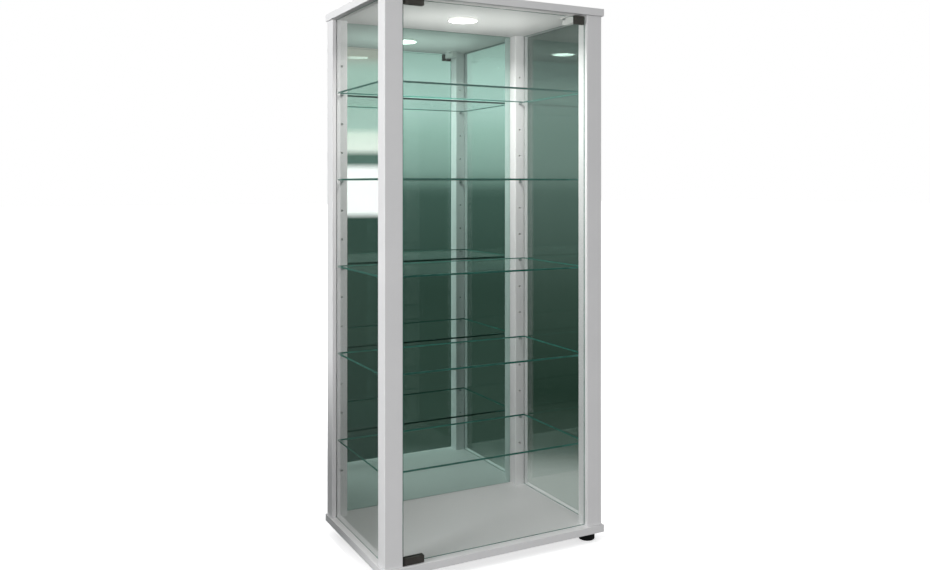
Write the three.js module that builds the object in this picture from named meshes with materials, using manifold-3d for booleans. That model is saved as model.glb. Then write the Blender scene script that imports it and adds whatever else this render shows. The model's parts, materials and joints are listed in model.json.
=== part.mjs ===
// Glass display cabinet: two boards on four grooved posts, glass sides, a mirror back, an inset pivot
// door on the left, five glass shelves on pins, a round lamp and a magnetic push latch.
// Millimetres. +X is the right side, the front faces -Y, +Z is up. The origin is on the floor,
// under the middle of the boards.
import * as THREE from "three";
import { mergeVertices } from "three/addons/utils/BufferGeometryUtils.js";
import Module from "manifold-3d";

const wasm = await Module();
wasm.setup();

// ---- driving dimensions -------------------------------------------------------------------------

// boards and feet
const boardWidth = 514;
const boardDepth = 340;
const boardThickness = 16;
const boardEdgeRound = 1;
const footHeight = 18;
const footDiameter = 35;
const footInset = 27;
const rearFootInset = 38;
const footBoreDiameter = 5;
const footPocketDiameter = 13;
const footPocketDepth = 9;
const footRimRound = 2.5;

// posts
const postHeight = 1100;
const postWidth = 38;
const postDepth = 34;
const postCornerRadius = 1.5;
const postSetback = 4;
const rearSetback = 0;
const grooveDepth = 8;
const paneInset = 9;
const mirrorInset = 4;

// glass
const paneThickness = 4;
const mirrorThickness = 4;
const shelfThickness = 4;
const doorThickness = 4;
const glassEdgeRound = 0.4;

// shelf holes and pins
const holeCount = 15;
const holePitch = 64;
const holeDiameter = 5;
const holeDepth = 10;
const holeInset = 25;
const shelfHoles = [1, 4, 7, 10, 13];
const pinReach = 8;
const pinCollarDiameter = 7.4;
const pinCollarThickness = 1;
const pinShankClearance = 0.15;

// door and hinges
const doorSetback = 5;
const doorSideGap = 2.5;
const doorEndGap = 4.5;
const pivotFromPost = 9.5;
const pivotDiameter = 5;
const pivotLength = 9;
const bracketThickness = 1.5;
const bracketHeight = 33;
const bracketWidth = 10;
const clipReach = 36.5;
const clipHeight = 13;
const clipThickness = 12;
const clipWeb = 2;
const clipCornerRadius = 1.2;
const clipEdgeRadius = 1;
const clampScrewDiameter = 4;
const clampSocketRadius = 1;
const clampSocketDepth = 1.5;
const clampScrewPlaces = [10, 27];

// strike plate and push latch
const strikeWidth = 24.6;
const strikeHeight = 18.3;
const strikeSheet = 1.5;
const strikeFromGlassEdge = 2.5;
const strikeNotchRadius = 1.6;
const strikeNotchOffset = 3;
const strikeScrewDiameter = 3;
const strikeScrewFromEdge = 4;
const latchWidth = 13;
const latchLength = 46;
const latchHeight = 15;
const latchFlangeWidth = 29;
const latchFlangeLength = 20;
const latchFlangeThickness = 2.5;
const plungerDiameter = 8;
const plungerLength = 34;
const plungerProud = 3.4;
const plungerDrop = 0.8;
const latchEndWall = 3;
const magnetDiameter = 5.5;
const magnetThickness = 2.5;

// lamp
const lampDiameter = 66;
const lampHeight = 5;
const lampWall = 2.4;
const lampRecess = 3;
const lampLensThickness = 2;
const lampLeadHole = 8;

// screws
const screwShankDiameter = 3.6;
const screwHeadDiameter = 7;
const screwHeadHeight = 2.4;
const screwHeadRim = 0.4;
const screwRecessRadius = 1.2;
const screwRecessDepth = 1.1;
const screwGrip = 11;
const screwTip = 3;
const panHeadDiameter = 9;
const panHeadHeight = 2.4;
const panRecessDepth = 1.6;

// small edges
const edgeBreak = 0.8;
const fineBreak = 0.5;

// clearances
const gap = 0.3;
const grooveClearance = 0.3;
const runningClearance = 0.25;
const shelfEndClearance = 2;
const shelfSideClearance = 1.5;
const pinEndClearance = 1;

// ---- worked out from the dimensions above -------------------------------------------------------

const halfWidth = boardWidth / 2;
const halfDepth = boardDepth / 2;
const floorLevel = footHeight + boardThickness;
const ceilingLevel = floorLevel + postHeight;
const postOuterX = halfWidth - postSetback;
const postInnerX = postOuterX - postWidth;
const postFrontY = halfDepth - postSetback;
const postRearY = halfDepth - rearSetback;
const paneGroove = paneThickness + 2 * grooveClearance;
const mirrorGroove = mirrorThickness + 2 * grooveClearance;
const firstHole = (postHeight - (holeCount - 1) * holePitch) / 2;
const doorBottom = floorLevel + doorEndGap;
const doorTop = ceilingLevel - doorEndGap;
const doorMidY = -postFrontY + doorSetback + doorThickness / 2;
const pivotX = -postInnerX + pivotFromPost;
const doorRightX = postInnerX - doorSideGap;

// ---- shared tools -------------------------------------------------------------------------------

function toSolid(geometry) {
  const plain = geometry.clone();
  plain.deleteAttribute("normal");
  plain.deleteAttribute("uv");
  const merged = mergeVertices(plain, 1e-4);
  const mesh = new wasm.Mesh({
    numProp: 3,
    vertProperties: new Float32Array(merged.attributes.position.array),
    triVerts: new Uint32Array(merged.index.array),
  });
  return new wasm.Manifold(mesh);
}

function toGeometry(solid) {
  const mesh = solid.getMesh();
  const geometry = new THREE.BufferGeometry();
  geometry.setAttribute("position", new THREE.BufferAttribute(new Float32Array(mesh.vertProperties), 3));
  geometry.setIndex(new THREE.BufferAttribute(new Uint32Array(mesh.triVerts), 1));
  return geometry;
}

function cut(body, ...tools) {
  let solid = toSolid(body);
  for (const tool of tools) {
    solid = solid.subtract(toSolid(tool));
  }
  return toGeometry(solid);
}

function join(body, ...others) {
  let solid = toSolid(body);
  for (const other of others) {
    solid = solid.add(toSolid(other));
  }
  return toGeometry(solid);
}

function common(body, other) {
  return toGeometry(toSolid(body).intersect(toSolid(other)));
}

function box(width, depth, height, x = 0, y = 0, z = 0) {
  return new THREE.BoxGeometry(width, depth, height).translate(x, y, z);
}

function rod(diameter, length, sides = 16) {
  return new THREE.CylinderGeometry(diameter / 2, diameter / 2, length, sides).rotateX(Math.PI / 2);
}

function turned(profile, sides) {
  const points = profile.map(([radius, height]) => new THREE.Vector2(radius, height));
  return new THREE.LatheGeometry(points, sides).rotateX(Math.PI / 2);
}

// A flat slab with softened edges, centred on the origin.
function easedSlab(width, depth, height, round, steps = 1) {
  const shape = new THREE.Shape();
  const x = width / 2 - round;
  const y = depth / 2 - round;
  shape.moveTo(-x, -y);
  shape.lineTo(x, -y);
  shape.lineTo(x, y);
  shape.lineTo(-x, y);
  shape.closePath();
  const settings = {
    depth: height - 2 * round,
    bevelEnabled: true,
    bevelThickness: round,
    bevelSize: round,
    bevelSegments: steps,
  };
  return new THREE.ExtrudeGeometry(shape, settings).translate(0, 0, round - height / 2);
}

function corner(centreX, centreY, radius, startAngle, steps = 3) {
  const points = [];
  for (let i = 0; i <= steps; i += 1) {
    const angle = startAngle + (i / steps) * (Math.PI / 2);
    points.push([centreX + radius * Math.cos(angle), centreY + radius * Math.sin(angle)]);
  }
  return points;
}

function extruded(points, height) {
  const shape = new THREE.Shape(points.map(([x, y]) => new THREE.Vector2(x, y)));
  return new THREE.ExtrudeGeometry(shape, { depth: height, bevelEnabled: false });
}

// ---- materials ----------------------------------------------------------------------------------

function paint(colour, roughness, metalness = 0) {
  return new THREE.MeshStandardMaterial({ color: colour, roughness, metalness });
}

const whiteBoard = () => paint(0xd8d8da, 0.45);
const clearGlass = () => paint(0x7fb3a4, 0.05);
const silvered = () => paint(0x5f7f78, 0.05, 1);
const blackMetal = () => paint(0x2b2826, 0.4, 0.6);
const blackPlastic = () => paint(0x1c1c1c, 0.55);
const whitePlastic = () => paint(0xe8e8e6, 0.4);
const steel = () => paint(0xb4b6b8, 0.3, 1);
const glowing = () => paint(0xfffff4, 0.3);

const cabinet = new THREE.Group();

function place(name, geometry, material, x = 0, y = 0, z = 0, parent = cabinet) {
  const mesh = new THREE.Mesh(geometry, material);
  mesh.name = name;
  mesh.position.set(x, y, z);
  parent.add(mesh);
  return mesh;
}

const sides = [["left", -1], ["right", 1]];
const ends = [["front", -1], ["rear", 1]];

// ---- screws -------------------------------------------------------------------------------------

// A countersunk wood screw standing head down, its head's flat face at height 0.
function woodScrew() {
  const head = screwHeadDiameter / 2;
  const shank = screwShankDiameter / 2;
  const profile = [
    [0, screwRecessDepth],
    [screwRecessRadius, screwRecessDepth],
    [screwRecessRadius, 0],
    [head, 0],
    [head, screwHeadRim],
    [shank, screwHeadHeight],
    [shank, screwHeadHeight + screwGrip - screwTip],
    [0, screwHeadHeight + screwGrip],
  ];
  return turned(profile, 12);
}

// A hole in a board's face for a screw that goes so deep into it, centred on that face.
function screwPilot(depth) {
  return rod(screwShankDiameter + 2 * gap, 2 * (depth + gap));
}

// ---- boards -------------------------------------------------------------------------------------

const footX = { front: halfWidth - footInset, rear: halfWidth - rearFootInset };
const footY = halfDepth - footInset;
const footScrewBite = footPocketDepth + gap + screwHeadHeight + screwGrip - footHeight;
const latchX = doorRightX - strikeFromGlassEdge - strikeWidth / 2;
const latchFrontY = doorMidY + doorThickness / 2 + gap + strikeSheet + gap + plungerProud;
const latchScrewX = latchWidth / 2 + (latchFlangeWidth - latchWidth) / 4;
const latchScrewY = latchFrontY + latchLength - latchFlangeLength / 2;
const latchScrewBite = screwGrip - latchFlangeThickness - 2 * gap;

function pivotBore() {
  return rod(pivotDiameter + 2 * runningClearance, pivotLength * 2, 24);
}

function baseBoard() {
  const slab = easedSlab(boardWidth, boardDepth, boardThickness, boardEdgeRound, 2);
  const top = boardThickness / 2;
  const tools = [pivotBore().translate(pivotX, doorMidY, top)];
  for (const [, sx] of sides) {
    for (const [end, sy] of ends) {
      tools.push(screwPilot(footScrewBite).translate(sx * footX[end], sy * footY, -top));
    }
  }
  place("base_board", cut(slab, ...tools), whiteBoard(), 0, 0, footHeight + top);
}

function topBoard() {
  const slab = easedSlab(boardWidth, boardDepth, boardThickness, boardEdgeRound, 2);
  const underside = -boardThickness / 2;
  const tools = [
    pivotBore().translate(pivotX, doorMidY, underside),
    rod(lampLeadHole, boardThickness * 2, 20),
  ];
  for (const [, sx] of sides) {
    tools.push(screwPilot(latchScrewBite).translate(latchX + sx * latchScrewX, latchScrewY, underside));
  }
  place("top_board", cut(slab, ...tools), whiteBoard(), 0, 0, ceilingLevel + boardThickness / 2);
}

// ---- posts --------------------------------------------------------------------------------------

// The outline counts across from the outer side face, and inwards from the front or rear face.
function postOutline(rear) {
  const r = postCornerRadius;
  const paneEnd = paneInset + paneGroove;
  const mirrorEnd = mirrorInset + mirrorGroove;
  const points = [...corner(postWidth - r, r, r, -Math.PI / 2)];
  if (rear) {
    points.push([postWidth, mirrorInset]);
    points.push([postWidth - grooveDepth, mirrorInset]);
    points.push([postWidth - grooveDepth, mirrorEnd]);
    points.push([postWidth, mirrorEnd]);
  }
  points.push(...corner(postWidth - r, postDepth - r, r, 0));
  points.push([paneEnd, postDepth]);
  points.push([paneEnd, postDepth - grooveDepth]);
  points.push([paneInset, postDepth - grooveDepth]);
  points.push([paneInset, postDepth]);
  points.push(...corner(r, postDepth - r, r, Math.PI / 2));
  points.push(...corner(r, r, r, Math.PI));
  return points;
}

function post(end, side, sy, sx) {
  const rear = sy > 0;
  const outline = postOutline(rear).map(([u, v]) => [-sx * u, -sy * v]);
  const length = postHeight - 2 * gap;
  const tools = [];
  for (let i = 0; i < holeCount; i += 1) {
    const drill = rod(holeDiameter, 2 * holeDepth, 12).rotateX(Math.PI / 2);
    tools.push(drill.translate(-sx * holeInset, -sy * postDepth, firstHole - gap + i * holePitch));
  }
  const y = sy * (rear ? postRearY : postFrontY);
  place(`post_${end}_${side}`, cut(extruded(outline, length), ...tools), whiteBoard(),
    sx * postOuterX, y, floorLevel + gap);
}

function allPosts() {
  for (const [end, sy] of ends) {
    for (const [side, sx] of sides) {
      post(end, side, sy, sx);
    }
  }
}

// ---- glass sides and mirror back ----------------------------------------------------------------

function sidePanes() {
  const frontEnd = -postFrontY + postDepth - grooveDepth + grooveClearance;
  const rearEnd = postRearY - postDepth + grooveDepth - grooveClearance;
  const x = postOuterX - paneInset - paneGroove / 2;
  for (const [side, sx] of sides) {
    const pane = easedSlab(rearEnd - frontEnd, postHeight - 2 * gap, paneThickness, glassEdgeRound);
    pane.rotateX(Math.PI / 2).rotateZ(Math.PI / 2);
    place(`side_glass_${side}`, pane, clearGlass(), sx * x, (frontEnd + rearEnd) / 2,
      (floorLevel + ceilingLevel) / 2);
  }
}

function mirrorBack() {
  const width = 2 * (postInnerX + grooveDepth - grooveClearance);
  const pane = easedSlab(width, postHeight - 2 * gap, mirrorThickness, glassEdgeRound);
  pane.rotateX(Math.PI / 2);
  place("rear_mirror", pane, silvered(), 0, postRearY - mirrorInset - mirrorGroove / 2,
    (floorLevel + ceilingLevel) / 2);
}

// ---- shelves and their pins ---------------------------------------------------------------------

const holeLevel = (index) => floorLevel + firstHole + index * holePitch;

// A pin lies along its axis: shank in the hole, a thin collar at the post's face, then the rest.
function shelfPin() {
  const shank = holeDiameter / 2 - pinShankClearance;
  const support = holeDiameter / 2;
  const end = pinEndClearance - holeDepth;
  const profile = [
    [0, end],
    [shank, end],
    [shank, gap],
    [pinCollarDiameter / 2, gap],
    [pinCollarDiameter / 2, gap + pinCollarThickness],
    [support, gap + pinCollarThickness],
    [support, pinReach - edgeBreak],
    [support - edgeBreak, pinReach],
    [0, pinReach],
  ];
  return turned(profile, 10);
}

function shelves() {
  const sideInner = postOuterX - paneInset - grooveClearance - paneThickness;
  const width = 2 * (sideInner - shelfSideClearance);
  const frontEnd = -postFrontY + postDepth + shelfEndClearance;
  const rearEnd = postRearY - postDepth - shelfEndClearance;
  shelfHoles.forEach((index, i) => {
    const level = holeLevel(index);
    const slab = easedSlab(width, rearEnd - frontEnd, shelfThickness, glassEdgeRound);
    const rest = level + holeDiameter / 2 + gap;
    place(`shelf_${i + 1}`, slab, clearGlass(), 0, (frontEnd + rearEnd) / 2, rest + shelfThickness / 2);
    for (const [end, sy] of ends) {
      for (const [side, sx] of sides) {
        const face = sy * ((sy > 0 ? postRearY : postFrontY) - postDepth);
        const pin = shelfPin().rotateX(sy * Math.PI / 2);
        place(`shelf_pin_${i + 1}_${end}_${side}`, pin, steel(), sx * (postOuterX - holeInset), face, level);
      }
    }
  });
}

// ---- feet ---------------------------------------------------------------------------------------

function foot() {
  const radius = footDiameter / 2;
  const top = footHeight - gap;
  const profile = [
    [footBoreDiameter / 2, footPocketDepth],
    [footPocketDiameter / 2, footPocketDepth],
    [footPocketDiameter / 2, 0],
    ...corner(radius - footRimRound, footRimRound, footRimRound, -Math.PI / 2),
    [radius, top - edgeBreak],
    [radius - edgeBreak, top],
    [footBoreDiameter / 2, top],
    [footBoreDiameter / 2, footPocketDepth],
  ];
  return turned(profile, 24);
}

function feet() {
  for (const [end, sy] of ends) {
    for (const [side, sx] of sides) {
      place(`foot_${end}_${side}`, foot(), blackPlastic(), sx * footX[end], sy * footY, 0);
      place(`foot_screw_${end}_${side}`, footScrew(), steel(), sx * footX[end], sy * footY, footPocketDepth);
    }
  }
}

// A pan head screw, with the roof of the foot's pocket at height 0.
function footScrew() {
  const head = panHeadDiameter / 2;
  const shank = screwShankDiameter / 2;
  const crown = -gap - panHeadHeight;
  const tip = footHeight - footPocketDepth + footScrewBite;
  const profile = [
    [0, crown + panRecessDepth],
    [screwRecessRadius, crown + panRecessDepth],
    [screwRecessRadius, crown],
    [head - edgeBreak, crown],
    [head, crown + edgeBreak],
    [head, -gap],
    [shank, -gap],
    [shank, tip - screwTip],
    [0, tip],
  ];
  return turned(profile, 12);
}

// ---- door and hinges ----------------------------------------------------------------------------

const door = new THREE.Group();
door.position.set(pivotX, doorMidY, 0);
cabinet.add(door);

const hingeEnds = [["bottom", 1, floorLevel], ["top", -1, ceilingLevel]];
const clipStart = bracketThickness + 2 * gap;
const clampScrewLevel = (doorEndGap + clipStart + clipHeight) / 2;
const doorLeftU = -(pivotFromPost - doorSideGap);
const doorRightU = doorRightX - pivotX;

function doorGlass() {
  const width = doorRightU - doorLeftU;
  const pane = easedSlab(width, doorTop - doorBottom, doorThickness, glassEdgeRound);
  pane.rotateX(Math.PI / 2);
  place("door_glass", pane, clearGlass(), (doorLeftU + doorRightU) / 2, 0, (doorBottom + doorTop) / 2, door);
}

// An angle of sheet steel: one leg up the post, one along the board under the clip, with the pivot bore.
function hingeBracket(up) {
  const reach = pivotFromPost + clipReach - gap;
  const leg = box(bracketThickness, bracketWidth, bracketHeight, gap + bracketThickness / 2, 0,
    up * (gap + bracketHeight / 2));
  const plate = box(reach, bracketWidth, bracketThickness, gap + reach / 2, 0,
    up * (gap + bracketThickness / 2));
  return cut(join(leg, plate), pivotBore().translate(pivotFromPost, 0, 0));
}

// The clip holds the door's corner in a slot and carries the pivot pin. Its end is round about the
// pin, so that it clears the post as the door swings.
function hingeClip(up) {
  const round = clipThickness / 2;
  const r = clipCornerRadius;
  const edge = clipEdgeRadius;
  const low = clipStart;
  const outline = [
    ...corner(clipReach - edge, -round + edge, edge, -Math.PI / 2),
    ...corner(clipReach - edge, round - edge, edge, 0),
    ...corner(0, 0, round, Math.PI / 2, 6),
    ...corner(0, 0, round, Math.PI, 6),
  ];
  const plan = extruded(outline, clipHeight).translate(0, 0, low);
  const face = [
    [-round, low],
    [clipReach, low],
    ...corner(clipReach - r, low + clipHeight - r, r, 0),
    [-round, low + clipHeight],
  ];
  const front = extruded(face, clipThickness + 2).rotateX(Math.PI / 2).translate(0, round + 1, 0);
  const blank = common(plan, front);
  const slotWidth = doorThickness + 2 * gap;
  const slotStart = doorEndGap - gap;
  const slot = box(clipReach * 3, slotWidth, clipHeight * 2, 0, 0, slotStart + clipHeight);
  const tools = [slot];
  for (const u of clampScrewPlaces) {
    const bore = rod(clampScrewDiameter + 2 * runningClearance, round, 14).rotateX(Math.PI / 2);
    tools.push(bore.translate(u, round / 2 + slotWidth / 2, clampScrewLevel));
  }
  const pin = rod(pivotDiameter, pivotLength, 20).translate(0, 0, low + clipWeb / 2 - pivotLength / 2);
  const clip = join(cut(blank, ...tools), pin);
  return up > 0 ? clip : mirrored(clip);
}

function mirrored(geometry) {
  const copy = geometry.clone().scale(1, 1, -1);
  const index = copy.index.array;
  for (let i = 0; i < index.length; i += 3) {
    const first = index[i];
    index[i] = index[i + 1];
    index[i + 1] = first;
  }
  return copy;
}

// A short socket screw through the clip's inner cheek, lying along Y.
function clampScrew(length) {
  const radius = clampScrewDiameter / 2;
  const profile = [
    [0, 0],
    [radius - fineBreak, 0],
    [radius, fineBreak],
    [radius, length],
    [clampSocketRadius, length],
    [clampSocketRadius, length - clampSocketDepth],
    [0, length - clampSocketDepth],
  ];
  return turned(profile, 12).rotateX(-Math.PI / 2);
}

function hinges() {
  for (const [end, up, level] of hingeEnds) {
    place(`hinge_bracket_${end}`, hingeBracket(up), blackMetal(), -postInnerX, doorMidY, level);
    place(`hinge_clip_${end}`, hingeClip(up), blackMetal(), 0, 0, level, door);
    const start = doorThickness / 2 + gap;
    const length = clipThickness / 2 - start;
    clampScrewPlaces.forEach((u, i) => {
      const z = level + up * clampScrewLevel;
      place(`clamp_screw_${end}_${i + 1}`, clampScrew(length), steel(), u, start, z, door);
    });
  }
}

// ---- strike plate and push latch ----------------------------------------------------------------

const strikeLevel = doorTop + gap + strikeSheet - strikeHeight / 2;
const strikeScrewLevel = strikeScrewFromEdge - strikeHeight / 2;

// Folded sheet over the door's top edge, with a small round notch in the lower edge of its front.
function strikePlate() {
  const deep = doorThickness + 2 * gap + 2 * strikeSheet;
  const block = box(strikeWidth, deep, strikeHeight);
  const inside = box(strikeWidth * 2, doorThickness + 2 * gap, strikeHeight, 0, 0, -strikeSheet);
  const notch = rod(2 * strikeNotchRadius, deep, 16).rotateX(Math.PI / 2);
  notch.translate(-strikeNotchOffset, -deep / 2, -strikeHeight / 2);
  const bore = rod(strikeScrewDiameter + 2 * runningClearance, strikeSheet * 2, 12).rotateX(Math.PI / 2);
  bore.translate(0, deep / 2 - strikeSheet / 2, strikeScrewLevel);
  return cut(block, inside, notch, bore);
}

function strike() {
  const u = latchX - pivotX;
  place("strike_plate", strikePlate(), blackMetal(), u, 0, strikeLevel, door);
  const length = strikeSheet - gap;
  const radius = strikeScrewDiameter / 2;
  const socket = radius / 2;
  const profile = [
    [0, 0],
    [radius, 0],
    [radius, length],
    [socket, length],
    [socket, length / 2],
    [0, length / 2],
  ];
  const screw = turned(profile, 12).rotateX(-Math.PI / 2);
  place("strike_screw", screw, steel(), u, doorThickness / 2 + gap, strikeLevel + strikeScrewLevel, door);
}

function latchHousing() {
  const body = easedSlab(latchWidth, latchLength, latchHeight, edgeBreak);
  const flange = box(latchFlangeWidth, latchFlangeLength, latchFlangeThickness, 0,
    latchLength / 2 - latchFlangeLength / 2, latchHeight / 2 - latchFlangeThickness / 2);
  const bore = rod(plungerDiameter + 2 * runningClearance, latchLength, 20).rotateX(Math.PI / 2);
  bore.translate(0, -latchEndWall, -plungerDrop);
  const tools = [bore];
  for (const [, sx] of sides) {
    const hole = rod(screwShankDiameter + 2 * gap, latchFlangeThickness * 3, 14);
    tools.push(hole.translate(sx * latchScrewX, latchLength / 2 - latchFlangeLength / 2,
      latchHeight / 2));
  }
  return cut(join(body, flange), ...tools);
}

// The plunger lies along Y with its nose at the origin and a pocket for the magnet.
function latchPlunger() {
  const radius = plungerDiameter / 2;
  const pocket = magnetDiameter / 2 + gap;
  const profile = [
    [0, -plungerLength],
    [radius, -plungerLength],
    [radius, -fineBreak],
    [radius - fineBreak, 0],
    [pocket, 0],
    [pocket, -magnetThickness - gap],
    [0, -magnetThickness - gap],
  ];
  return turned(profile, 20).rotateX(Math.PI / 2);
}

function latchMagnet() {
  const radius = magnetDiameter / 2;
  const profile = [
    [0, -magnetThickness],
    [radius, -magnetThickness],
    [radius, -gap - fineBreak],
    [radius - fineBreak, -gap],
    [0, -gap],
  ];
  return turned(profile, 18).rotateX(Math.PI / 2);
}

function latch() {
  const middle = ceilingLevel - gap - latchHeight / 2;
  const nose = latchFrontY - plungerProud;
  place("latch_housing", latchHousing(), whitePlastic(), latchX, latchFrontY + latchLength / 2, middle);
  place("latch_plunger", latchPlunger(), whitePlastic(), latchX, nose, middle - plungerDrop);
  place("latch_magnet", latchMagnet(), steel(), latchX, nose, middle - plungerDrop);
  sides.forEach(([side, sx]) => {
    const seat = ceilingLevel - gap - latchFlangeThickness - gap - screwHeadHeight;
    place(`latch_screw_${side}`, woodScrew(), steel(), latchX + sx * latchScrewX, latchScrewY, seat);
  });
}

// ---- lamp ---------------------------------------------------------------------------------------

function lamp() {
  const radius = lampDiameter / 2;
  const inner = radius - lampWall;
  const body = [
    [0, lampRecess],
    [inner, lampRecess],
    [inner, 0],
    [radius - edgeBreak, 0],
    [radius, edgeBreak],
    [radius, lampHeight - gap],
    [0, lampHeight - gap],
  ];
  const lens = [
    [0, 0],
    [inner - gap - fineBreak, 0],
    [inner - gap, fineBreak],
    [inner - gap, lampLensThickness],
    [0, lampLensThickness],
  ];
  const level = ceilingLevel - lampHeight;
  place("lamp_body", turned(body, 36), whitePlastic(), 0, 0, level);
  place("lamp_lens", turned(lens, 36), glowing(), 0, 0, level);
}

// ---- the whole cabinet --------------------------------------------------------------------------

baseBoard();
topBoard();
allPosts();
sidePanes();
mirrorBack();
shelves();
feet();
doorGlass();
hinges();
strike();
latch();
lamp();

export default cabinet;
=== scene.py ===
import json
import math

import bmesh
import bpy
from mathutils import Matrix, Vector


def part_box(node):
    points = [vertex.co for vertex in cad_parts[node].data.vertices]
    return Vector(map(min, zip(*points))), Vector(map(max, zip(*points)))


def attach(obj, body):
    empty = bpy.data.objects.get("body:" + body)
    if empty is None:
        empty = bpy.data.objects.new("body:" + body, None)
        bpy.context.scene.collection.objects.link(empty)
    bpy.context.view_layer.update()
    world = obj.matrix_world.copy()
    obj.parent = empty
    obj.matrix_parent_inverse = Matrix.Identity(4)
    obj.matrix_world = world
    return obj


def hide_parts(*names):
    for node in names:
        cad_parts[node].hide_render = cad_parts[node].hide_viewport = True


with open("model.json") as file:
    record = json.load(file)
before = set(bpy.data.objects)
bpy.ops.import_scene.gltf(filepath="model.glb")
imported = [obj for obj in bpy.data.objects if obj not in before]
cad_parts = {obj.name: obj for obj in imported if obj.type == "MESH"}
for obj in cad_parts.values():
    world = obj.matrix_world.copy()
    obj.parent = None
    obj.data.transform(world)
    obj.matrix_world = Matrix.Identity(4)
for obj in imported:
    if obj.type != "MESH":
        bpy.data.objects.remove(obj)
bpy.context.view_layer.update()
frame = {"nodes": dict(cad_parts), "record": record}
print("frame loaded:", len(frame["nodes"]), "nodes")

mm = 0.001
sides = {"left": -1, "right": 1}
ends = {"front": -1, "rear": 1}
shelfCount = 5


def feed(tree, socket, item):
    # an input takes a wire, a bare socket or a plain value
    if isinstance(item, Wire):
        item = item.socket
    if isinstance(item, bpy.types.NodeSocket):
        tree.links.new(item, socket)
    elif item is not None:
        socket.default_value = item


class Wire:
    # one output socket that can be used in sums
    def __init__(self, tree, socket):
        self.tree = tree
        self.socket = socket

    def maths(self, operation, *items):
        node = self.tree.nodes.new("ShaderNodeMath")
        node.operation = operation
        for socket, item in zip(node.inputs, items):
            feed(self.tree, socket, item)
        return Wire(self.tree, node.outputs[0])

    def __add__(self, other):
        return self.maths("ADD", self, other)

    def __sub__(self, other):
        return self.maths("SUBTRACT", self, other)

    def __mul__(self, other):
        return self.maths("MULTIPLY", self, other)

    def __truediv__(self, other):
        return self.maths("DIVIDE", self, other)

    def __pow__(self, other):
        return self.maths("POWER", self, other)

    def __radd__(self, other):
        return self.maths("ADD", other, self)

    def __rsub__(self, other):
        return self.maths("SUBTRACT", other, self)

    def __rmul__(self, other):
        return self.maths("MULTIPLY", other, self)

    def over(self, low, high):
        # 0 below low, 1 above high, smooth between
        node = self.tree.nodes.new("ShaderNodeMapRange")
        node.interpolation_type = "SMOOTHSTEP"
        for socket, item in zip(node.inputs, (self, low, high, 0.0, 1.0)):
            feed(self.tree, socket, item)
        return Wire(self.tree, node.outputs[0])


class Tree:
    # a node tree with one method that makes any node
    def __init__(self, nodeTree):
        self.tree = nodeTree

    def add(self, kind, settings=None, sockets=None, output=0):
        node = self.tree.nodes.new(kind)
        for name, value in (settings or {}).items():
            if name == "stops":
                self.setStops(node.color_ramp, value)
            else:
                setattr(node, name, value)
        for name, item in (sockets or {}).items():
            feed(self.tree, node.inputs[name], item)
        return Wire(self.tree, node.outputs[output])

    def setStops(self, ramp, stops):
        while len(ramp.elements) > 1:
            ramp.elements.remove(ramp.elements[-1])
        for i, (place, colour) in enumerate(stops):
            stop = ramp.elements[0] if i == 0 else ramp.elements.new(place)
            stop.position = place
            stop.color = (*colour, 1)

    def mix(self, factor, first, second, blend="MIX"):
        settings = {"data_type": "RGBA", "blend_type": blend}
        return self.add("ShaderNodeMix", settings, {0: factor, 6: first, 7: second}, output=2)

    def noise(self, place, scale, detail=2.0, roughness=0.5):
        sockets = {"Vector": place, "Scale": scale, "Detail": detail, "Roughness": roughness}
        return self.add("ShaderNodeTexNoise", {}, sockets)


class Finish(Tree):
    # a material with one Principled shader
    def __init__(self, name, constants):
        self.material = bpy.data.materials.new(name)
        self.material.use_nodes = True
        super().__init__(self.material.node_tree)
        self.shader = self.tree.nodes["Principled BSDF"]
        for socket, value in constants.items():
            self.shader.inputs[socket].default_value = value
        self.place = self.add("ShaderNodeTexCoord", output=3)

    def drive(self, socket, item):
        feed(self.tree, self.shader.inputs[socket], item)

    def stretched(self, scale):
        return self.add("ShaderNodeMapping", {}, {"Vector": self.place, "Scale": scale})

    def bump(self, height, strength, distance):
        sockets = {"Height": height, "Strength": strength, "Distance": distance}
        self.drive("Normal", self.add("ShaderNodeBump", {}, sockets))


def rgb(*values):
    return (*values, 1.0)


foilLook = {
    "light": (0.80, 0.80, 0.805), "shade": (0.765, 0.765, 0.772), "mottle": 9.0, "grain": 900.0,
    "roughLow": 0.36, "roughHigh": 0.5, "bump": 0.05,
}


def whiteFoil():
    look = foilLook
    finish = Finish("whiteFoil", {"Specular IOR Level": 0.45})
    mottle = finish.noise(finish.place, look["mottle"], 4.0, 0.6)
    grain = finish.noise(finish.place, look["grain"], 2.0, 0.7)
    tone = (0.75 * mottle + 0.25 * grain).over(0.3, 0.7)
    finish.drive("Base Color", finish.mix(tone, rgb(*look["shade"]), rgb(*look["light"])))
    finish.drive("Roughness", look["roughLow"] + (look["roughHigh"] - look["roughLow"]) * mottle)
    finish.bump(grain, look["bump"], 0.1 * mm)
    return finish.material


glassLook = {
    "clear": (0.925, 0.957, 0.945), "smudge": (0.912, 0.948, 0.934), "wipe": (5.0, 5.0, 1.6),
    "roughest": 0.012, "paneBend": 1.45, "shelfBend": 1.006,
    "edge": (0.015, 0.07, 0.055), "edgeLight": (0.05, 0.22, 0.175), "edgeScale": 55.0,
    "edgeRough": 0.12, "edgeRoughMore": 0.2,
}


def clearGlass(name, bend):
    look = glassLook
    finish = Finish(name, {"Transmission Weight": 1.0, "IOR": bend})
    smudge = finish.noise(finish.stretched(look["wipe"]), 1.0, 3.0, 0.55).over(0.35, 0.75)
    finish.drive("Base Color", finish.mix(smudge, rgb(*look["clear"]), rgb(*look["smudge"])))
    finish.drive("Roughness", look["roughest"] * smudge)
    return finish.material


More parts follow.
